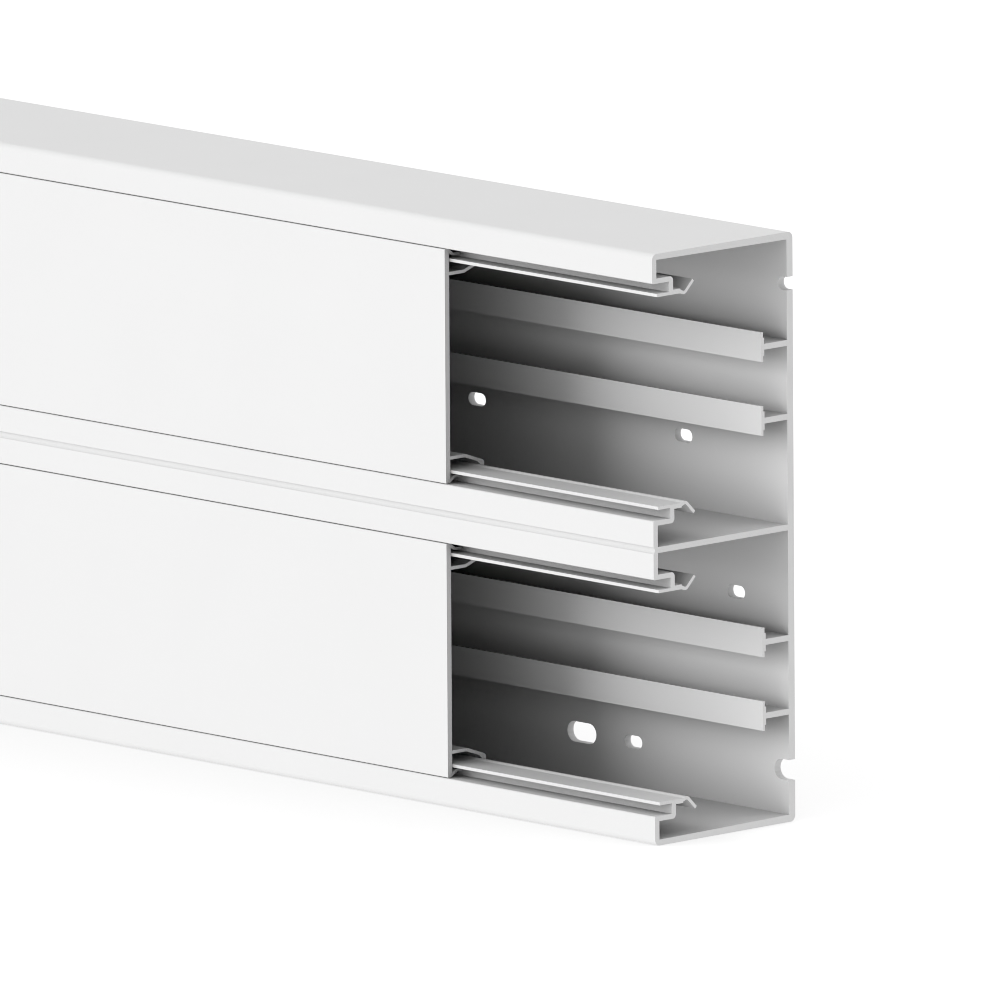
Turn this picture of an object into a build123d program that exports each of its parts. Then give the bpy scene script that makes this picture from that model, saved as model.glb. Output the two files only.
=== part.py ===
"""Two-compartment wall trunking for cables: a 2 m extruded base and the two covers that clip into its front.

Millimetres. X runs along the length, -Y is the front, +Y the wall side and +Z up. The base stands on Z = 0.
Every profile is drawn in its own plane, with x running back from the front face and y up.
"""

import os
from math import cos, radians, tan

from build123d import *

# Base: overall
length = 2000
depth = 65
opening = 80
edge_rail = 10
mid_rail = 20

# Base: walls and front
front_wall = 2.0
back_wall = 2.8
outer_wall = 2.0
outer_wall_at_back = 2.5
partition = 2.0
outer_radius = 2.2
groove_height = 2.3
groove_depth = 0.6

# Rim along each edge of an opening: a step back, a channel for the cover, then a lip with a bead and a sprung tail
step_wall = 1.7
step_radius = 1.5
opening_radius = 0.5
channel_width = 3.55
channel_depth = 7.8
web = 1.9
lip_wall = 1.05
root_wall = 1.6
root_length = 3.4
bead_wall = 1.1
bead_stand = 2.5
bead_length = 2.7
bead_rise = 0.75
bead_radius = 1.4
tail_run = 4.05

# Covers: they end short of the base's right-hand end, which leaves that end open
open_end = 100
cover_wall = 2.0
cover_radius = 0.4
gap = 0.2

# Legs of a cover: a short one in the channel, and a long one with a nose that catches behind the bead
short_leg_wall = 0.9
short_leg_rise = 1.7
short_leg_bend = 4.0
short_leg_end = 7.15
leg_wall = 1.1
leg_stand = 3.55
leg_bend = 8.9
leg_lean = 19.5
nose_end = 4.3
nose_wall = 1.2
nose_radius = 1.4
nose_tip_radius = 0.45

# T-shaped rails on the back wall, two in each compartment
rail_pitch = 25
rail_stand = 12
rail_arm = 2.0
rail_width = 10
rail_tip = 0.9
rail_middle_width = 6.2
rail_middle = 1.45

# Slots through the back wall, in rows along the length
slot_pitch = 100
screw_slot_length = 8.5
screw_slot_width = 4.5
wide_slot_length = 14
wide_slot_width = 7
slot_sides = 16
outer_row = 32.5
inner_row = 25

# Worked out from the sizes above
height = edge_rail + opening + mid_rail + opening + edge_rail
opening_pitch = opening + mid_rail
lower_middle = height / 2 - opening_pitch / 2
upper_middle = height / 2 + opening_pitch / 2
back_face = depth - back_wall
web_back = channel_depth + web
lip_face = channel_width + lip_wall
bead_start = web_back + bead_stand
bead_top = bead_start + bead_length
bead_line = lip_face - bead_wall / 2


def section(rise):
    """Plane across the left-hand end, with its origin on the front face at the given height."""
    return Plane(origin=(-length / 2, -depth / 2, rise), x_dir=(0, 1, 0), z_dir=(1, 0, 0))


# Rim, for the edge of an opening that begins at y = 0 and goes up
with BuildSketch() as rim:
    with Locations((0, -step_wall)):
        Rectangle(web_back, step_wall, align=(Align.MIN, Align.MIN))
    fillet(rim.vertices().group_by(Axis.Y)[0].sort_by(Axis.X)[-1], step_radius)
    fillet(rim.vertices().group_by(Axis.X)[0].sort_by(Axis.Y)[-1], opening_radius)
    with Locations((channel_depth, 0)):
        Rectangle(web, lip_face, align=(Align.MIN, Align.MIN))
    with Locations((cover_wall + gap, lip_face)):
        Rectangle(bead_start - cover_wall - gap, lip_wall, align=(Align.MIN, Align.MAX))
    with Locations((web_back, lip_face)):
        Rectangle(root_length, root_wall, align=(Align.MIN, Align.MAX))
    with BuildLine():
        FilletPolyline(
            (bead_start - bead_wall, bead_line),
            (bead_start + bead_wall, bead_line),
            (bead_top, bead_line + bead_rise),
            (bead_top + tail_run, bead_line + bead_rise - tail_run),
            radius=bead_radius,
        )
    trace(line_width=bead_wall)

# Nose of a cover's long leg: its front lies along the tail, a gap away, from where the leg's inner face meets it
slope = tan(radians(leg_lean))
leg_line = lip_face + leg_stand + leg_wall / 2
half_leg = leg_wall / 2 / cos(radians(leg_lean))
tail_face = bead_top + bead_line + bead_rise + (bead_wall / 2 + gap) / cos(radians(45))
nose_root = (tail_face - leg_line + half_leg - slope * leg_bend) / (1 - slope)
nose_front = tail_face - nose_end
nose_back = nose_front + nose_wall
with BuildSketch() as nose:
    with BuildLine():
        Polyline(
            (nose_root, tail_face - nose_root),
            (nose_front, nose_end),
            (nose_back, nose_end),
            (nose_back, leg_line + half_leg - slope * (nose_back - leg_bend)),
            (nose_root, leg_line + half_leg - slope * (nose_root - leg_bend)),
            close=True,
        )
    make_face()
    fillet(nose.vertices().group_by(Axis.X)[-1].sort_by(Axis.Y)[-1], nose_radius)
    fillet(nose.vertices().group_by(Axis.Y)[0], nose_tip_radius)

# Both legs of a cover, for the same edge
short_leg_line = gap + short_leg_wall / 2
with BuildSketch() as legs:
    with BuildLine():
        FilletPolyline(
            (cover_wall - short_leg_wall / 2, short_leg_line),
            (short_leg_bend, short_leg_line + short_leg_rise),
            (short_leg_end, short_leg_line + short_leg_rise),
            radius=short_leg_wall,
        )
    trace(line_width=short_leg_wall)
    with BuildLine():
        FilletPolyline(
            (cover_wall / 2, leg_line),
            (leg_bend, leg_line),
            (nose_root + leg_wall, leg_line - slope * (nose_root + leg_wall - leg_bend)),
            radius=leg_wall,
        )
    trace(line_width=leg_wall)
    add(nose.sketch)

# Base profile: the lower half, then its mirror image
with BuildSketch() as base_profile:
    Rectangle(depth, height / 2, align=(Align.MIN, Align.MAX))
    fillet(base_profile.vertices().group_by(Axis.Y)[0], outer_radius)
    with BuildLine():
        Polyline(
            (front_wall, -partition / 2),
            (back_face, -partition / 2),
            (back_face, outer_wall_at_back - height / 2),
            (front_wall, outer_wall - height / 2),
            close=True,
        )
    make_face(mode=Mode.SUBTRACT)
    with Locations((0, -opening_pitch / 2)):
        Rectangle(front_wall, opening + 2 * step_wall, align=(Align.MIN, Align.CENTER), mode=Mode.SUBTRACT)
    with Locations((0, -opening_pitch / 2 - opening / 2)):
        add(rim.sketch)
    with Locations((0, -opening_pitch / 2 + opening / 2)):
        add(mirror(rim.sketch, about=Plane.XZ, mode=Mode.PRIVATE))
    with Locations((back_face - rail_stand, -opening_pitch / 2)):
        with GridLocations(0, rail_pitch, 1, 2):
            Rectangle(rail_stand, rail_arm, align=(Align.MIN, Align.CENTER))
            Rectangle(rail_middle, rail_middle_width, align=(Align.MIN, Align.CENTER))
            Rectangle(rail_tip, rail_width, align=(Align.MIN, Align.CENTER))
    mirror(about=Plane.XZ)
    groove_radius = (groove_height**2 / 4 + groove_depth**2) / (2 * groove_depth)
    with Locations((groove_depth - groove_radius, 0)):
        Circle(groove_radius, mode=Mode.SUBTRACT)

# Cover profile: the lower half, then its mirror image
with BuildSketch() as cover_profile:
    Rectangle(cover_wall, opening / 2 - gap, align=(Align.MIN, Align.MAX))
    fillet(cover_profile.vertices().group_by(Axis.Y)[0].sort_by(Axis.X)[0], cover_radius)
    with Locations((0, -opening / 2)):
        add(legs.sketch)
    mirror(about=Plane.XZ)

# Rows of slots: height, distance of the first slot from the right-hand end, length and width
slot_rows = (
    (upper_middle + outer_row, 0, screw_slot_length, screw_slot_width),
    (upper_middle - inner_row, slot_pitch / 2, screw_slot_length, screw_slot_width),
    (lower_middle + inner_row, slot_pitch / 4, screw_slot_length, screw_slot_width),
    (lower_middle - outer_row, slot_pitch * 3 / 4, screw_slot_length, screw_slot_width),
    (lower_middle - outer_row, 0, wide_slot_length, wide_slot_width),
)

with BuildPart() as trunking_base:
    with BuildSketch(section(height / 2)):
        add(base_profile.sketch)
    extrude(amount=length)
    with BuildSketch(Plane.XZ.offset(-depth / 2)):
        for rise, first, long, wide in slot_rows:
            count = int((length - first) // slot_pitch) + 1
            places = [(length / 2 - first - i * slot_pitch, rise) for i in range(count)]
            whole = [place for place in places if abs(place[0]) < (length - long) / 2]
            # The first and last whole slot get round ends, and the others ends of few sides, for a smaller mesh
            round_ended = (whole[0], whole[-1])
            with Locations(*round_ended):
                SlotOverall(long, wide)
            with Locations(*[place for place in places if place not in round_ended]):
                Rectangle(long - wide, wide)
                with GridLocations(long - wide, 0, 2, 1):
                    RegularPolygon(wide / 2, slot_sides)
    extrude(amount=2 * back_wall, mode=Mode.SUBTRACT)
trunking_base.part.label = "trunking_base"

os.makedirs("parts", exist_ok=True)
export_step(trunking_base.part, "parts/trunking_base.step")

for name, middle in (("upper_cover", upper_middle), ("lower_cover", lower_middle)):
    with BuildPart() as cover:
        with BuildSketch(section(middle)):
            add(cover_profile.sketch)
        extrude(amount=length - open_end)
    cover.part.label = name
    export_step(cover.part, f"parts/{name}.step")
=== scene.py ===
"""Two-compartment cable trunking in a white studio: camera, light, floor and the finish of its rigid PVC."""

from math import cos, radians, sin, tau

import bpy
from mathutils import Matrix, Vector


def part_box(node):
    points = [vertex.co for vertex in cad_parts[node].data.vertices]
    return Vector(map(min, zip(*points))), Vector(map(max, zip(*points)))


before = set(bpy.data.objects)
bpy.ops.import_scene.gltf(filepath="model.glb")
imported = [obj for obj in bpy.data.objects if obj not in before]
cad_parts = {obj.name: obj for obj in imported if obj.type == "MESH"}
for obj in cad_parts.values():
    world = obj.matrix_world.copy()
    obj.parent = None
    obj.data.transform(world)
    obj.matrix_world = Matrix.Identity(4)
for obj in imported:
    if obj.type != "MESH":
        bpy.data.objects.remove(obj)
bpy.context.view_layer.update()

MM = 0.001

# Camera: a long lens from far away, because the long edges run parallel in the photograph
CAMERA_AZIMUTH = 46.38
CAMERA_ELEVATION = 10.11
CAMERA_ROLL = -0.355
CAMERA_TARGET = (0.9261, -0.0325, 0.1080)
CAMERA_DISTANCE = 13.914
CAMERA_LENS = 1500
CAMERA_NEAR = 1
CAMERA_FAR = 100

# Studio: an even light from the floor and the sky, and what the floor shows of itself
FLOOR_SIZE = 24
FLOOR_LIGHT = 0.79
FLOOR_GLOW = 0.72
FLOOR_SHADE = "#C4C4C4"
SKY_STRENGTH = 0.53
WHITE = "#FFFFFF"

# Soft lamps: name, azimuth and elevation they shine from, angle they fill, strength
SOFT_LAMPS = (
    ("left_lamp", -80, 0, 24, 0.45),
    ("left_front_lamp", -35, 15, 60, 1.54),
    ("top_rear_lamp", 180, 60, 60, 0.36),
)

# Rigid PVC, as extruded: the die leaves a smooth skin that looks matt, with faint lines along the length
PVC_IOR = 1.53
SKIN_COLOURS = ("#F2F2F2", "#F5F5F5")
SKIN_ROUGHNESSES = (0.68, 0.80)
SKIN_CLOUD_SIZE = 45 * MM
DIE_LINE_SPACING = 1.1 * MM
DIE_LINE_LENGTH = 900 * MM
DIE_LINE_DEPTH = 0.004 * MM

# Rigid PVC, as sawn: the blade leaves a duller face, with shallow arcs. The arcs and the die lines may be
# finer on a real piece, and are drawn this coarse so that they show
SAWN_COLOURS = ("#ECECEC", "#F3F3F3")
SAWN_ROUGHNESSES = (0.75, 0.90)
SAWN_CLOUD_SIZE = 6 * MM
SAW_MARK_SPACING = 0.8 * MM
SAW_MARK_DEPTH = 0.02 * MM
SAW_MARK_WANDER = 6.0
SAW_CENTRE = (0, -150 * MM, -60 * MM)
CUT_END_TOLERANCE = 0.01 * MM


def srgb(code):
    """Turns an sRGB hex value such as "#F4F4F3" into linear red, green, blue and alpha."""
    levels = [int(code[i : i + 2], 16) / 255 for i in (1, 3, 5)]
    return tuple(c / 12.92 if c <= 0.04045 else ((c + 0.055) / 1.055) ** 2.4 for c in levels) + (1.0,)


def add_node(tree, kind, settings=None, values=None, links=None):
    """Adds a node to a tree, with its properties, its input values and the outputs that feed its inputs."""
    node = tree.nodes.new(kind)
    for name, setting in (settings or {}).items():
        setattr(node, name, setting)
    for name, value in (values or {}).items():
        node.inputs[name].default_value = value
    for name, output in (links or {}).items():
        tree.links.new(output, node.inputs[name])
    return node


def new_material(name):
    """A material and its node tree, which is empty."""
    material = bpy.data.materials.new(name)
    material.use_nodes = True
    material.node_tree.nodes.clear()
    return material, material.node_tree


def direction(azimuth, elevation):
    """Unit vector from the middle of the scene towards that azimuth and elevation. Azimuth 0 is in front."""
    a, e = radians(azimuth), radians(elevation)
    return Vector((sin(a) * cos(e), -cos(a) * cos(e), sin(e)))


def make_camera():
    """The camera at the photograph's viewing angle, on the trunking's open end."""
    back = direction(CAMERA_AZIMUTH, CAMERA_ELEVATION)
    data = bpy.data.cameras.new("camera")
    data.lens = CAMERA_LENS
    data.clip_start = CAMERA_NEAR
    data.clip_end = CAMERA_FAR
    camera = bpy.data.objects.new("camera", data)
    turn = (-back).to_track_quat("-Z", "Y").to_matrix() @ Matrix.Rotation(radians(CAMERA_ROLL), 3, "Z")
    place = Matrix.Translation(Vector(CAMERA_TARGET) + back * CAMERA_DISTANCE)
    camera.matrix_world = place @ turn.to_4x4()
    bpy.context.scene.collection.objects.link(camera)
    bpy.context.scene.camera = camera


def seen_directly(tree):
    """1 where a camera, glossy or transmission ray looks, and 0 where light is gathered."""
    path = add_node(tree, "ShaderNodeLightPath")
    camera_or_glossy = add_node(
        tree,
        "ShaderNodeMath",
        {"operation": "MAXIMUM"},
        links={0: path.outputs["Is Camera Ray"], 1: path.outputs["Is Glossy Ray"]},
    )
    return add_node(
        tree,
        "ShaderNodeMath",
        {"operation": "MAXIMUM"},
        links={0: camera_or_glossy.outputs[0], 1: path.outputs["Is Transmission Ray"]},
    ).outputs[0]


def make_sky():
    """White where it is seen, and an even light elsewhere."""
    world = bpy.data.worlds.new("studio_sky")
    world.use_nodes = True
    tree = world.node_tree
    tree.nodes.clear()
    white = srgb(WHITE)
    seen = add_node(tree, "ShaderNodeBackground", values={"Color": white, "Strength": 1.0})
    light = add_node(tree, "ShaderNodeBackground", values={"Color": white, "Strength": SKY_STRENGTH})
    either = add_node(
        tree,
        "ShaderNodeMixShader",
        links={0: seen_directly(tree), 1: light.outputs[0], 2: seen.outputs[0]},
    )
    add_node(tree, "ShaderNodeOutputWorld", links={"Surface": either.outputs[0]})
    bpy.context.scene.world = world


def make_lamps():
    """The soft lamps, far away, each a disc of light as wide as the angle it fills."""
    for name, azimuth, elevation, angle, strength in SOFT_LAMPS:
        data = bpy.data.lights.new(name, "SUN")
        data.energy = strength
        data.angle = radians(angle)
        lamp = bpy.data.objects.new(name, data)
        lamp.rotation_euler = direction(azimuth, elevation).to_track_quat("Z", "Y").to_euler()
        bpy.context.scene.collection.objects.link(lamp)


def make_floor():
    """A pale floor that shows white, keeps a soft shadow of the trunking and lights it from below."""
    material, tree = new_material("pale_painted_floor")
    white = srgb(WHITE)
    light = add_node(tree, "ShaderNodeEmission", values={"Color": white, "Strength": FLOOR_LIGHT})
    shaded = add_node(tree, "ShaderNodeBsdfDiffuse", values={"Color": srgb(FLOOR_SHADE)})
    glow = add_node(tree, "ShaderNodeEmission", values={"Color": white, "Strength": FLOOR_GLOW})
    seen = add_node(tree, "ShaderNodeAddShader", links={0: shaded.outputs[0], 1: glow.outputs[0]})
    either = add_node(
        tree,
        "ShaderNodeMixShader",
        links={0: seen_directly(tree), 1: light.outputs[0], 2: seen.outputs[0]},
    )
    add_node(tree, "ShaderNodeOutputMaterial", links={"Surface": either.outputs[0]})
    material.cycles.emission_sampling = "NONE"
    bpy.ops.mesh.primitive_plane_add(size=FLOOR_SIZE, location=(0, 0, 0))
    floor = bpy.context.object
    floor.name = "floor"
    floor.data.materials.append(material)


def rigid_pvc(name, colours, roughnesses, cloud_size, marks_of, mark_depth):
    """Rigid PVC: colour in soft clouds, and a tool's marks that give a fine relief and an uneven gloss."""
    material, tree = new_material(name)
    place = add_node(tree, "ShaderNodeTexCoord").outputs["Object"]
    marks = marks_of(tree, place)
    clouds = add_node(
        tree,
        "ShaderNodeTexNoise",
        values={"Scale": 1 / cloud_size, "Detail": 3.0, "Roughness": 0.5},
        links={"Vector": place},
    )
    colour = add_node(
        tree,
        "ShaderNodeMix",
        {"data_type": "RGBA"},
        {"A": srgb(colours[0]), "B": srgb(colours[1])},
        {"Factor": clouds.outputs[0]},
    )
    gloss = add_node(
        tree,
        "ShaderNodeMapRange",
        values={"To Min": roughnesses[0], "To Max": roughnesses[1]},
        links={"Value": marks},
    )
    relief = add_node(
        tree,
        "ShaderNodeBump",
        values={"Strength": 1.0, "Distance": mark_depth},
        links={"Height": marks},
    )
    pvc = add_node(
        tree,
        "ShaderNodeBsdfPrincipled",
        values={"IOR": PVC_IOR},
        links={
            "Base Color": colour.outputs["Result"],
            "Roughness": gloss.outputs["Result"],
            "Normal": relief.outputs[0],
        },
    )
    add_node(tree, "ShaderNodeOutputMaterial", links={"Surface": pvc.outputs[0]})
    return material


def die_lines(tree, place):
    """Faint lines that the die draws along the length, about a millimetre wide and up to a metre long."""
    along = add_node(
        tree,
        "ShaderNodeMapping",
        values={"Scale": (1 / DIE_LINE_LENGTH, 1 / DIE_LINE_SPACING, 1 / DIE_LINE_SPACING)},
        links={"Vector": place},
    )
    return add_node(
        tree,
        "ShaderNodeTexNoise",
        values={"Scale": 1.0, "Detail": 2.0, "Roughness": 0.6},
        links={"Vector": along.outputs[0]},
    ).outputs[0]


def saw_marks(tree, place):
    """Shallow arcs that a circular saw leaves on a cut end. Its centre is below and in front of the end."""
    from_centre = add_node(
        tree,
        "ShaderNodeMapping",
        values={"Location": tuple(-c for c in SAW_CENTRE)},
        links={"Vector": place},
    )
    # The wave's rings are tau / 20 apart at a scale of 1
    return add_node(
        tree,
        "ShaderNodeTexWave",
        {"wave_type": "RINGS", "rings_direction": "X", "wave_profile": "SIN"},
        {
            "Scale": tau / 20 / SAW_MARK_SPACING,
            "Distortion": SAW_MARK_WANDER,
            "Detail": 2.0,
            "Detail Scale": 0.3,
        },
        {"Vector": from_centre.outputs[0]},
    ).outputs["Fac"]


def dress(name, skin, sawn):
    """Gives a piece its extruded skin, and the sawn finish on the faces of its two cut ends."""
    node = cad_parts[name]
    low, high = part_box(name)
    node.data.materials.clear()
    node.data.materials.append(skin)
    node.data.materials.append(sawn)
    for face in node.data.polygons:
        off_end = min(face.center.x - low.x, high.x - face.center.x)
        face.material_index = int(off_end < CUT_END_TOLERANCE)


make_camera()
make_sky()
make_lamps()
make_floor()

bpy.context.scene.view_settings.view_transform = "Standard"
# With no bounce, no surface lights another, so the compartments darken inside as they do in the photograph
bpy.context.scene.cycles.diffuse_bounces = 0
# A narrow pixel filter keeps the seams and thin edges as sharp as the photograph's
bpy.context.scene.cycles.filter_width = 1.0

skin = rigid_pvc(
    "extruded_white_rigid_pvc",
    SKIN_COLOURS,
    SKIN_ROUGHNESSES,
    SKIN_CLOUD_SIZE,
    die_lines,
    DIE_LINE_DEPTH,
)
sawn = rigid_pvc(
    "sawn_white_rigid_pvc",
    SAWN_COLOURS,
    SAWN_ROUGHNESSES,
    SAWN_CLOUD_SIZE,
    saw_marks,
    SAW_MARK_DEPTH,
)
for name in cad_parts:
    dress(name, skin, sawn)
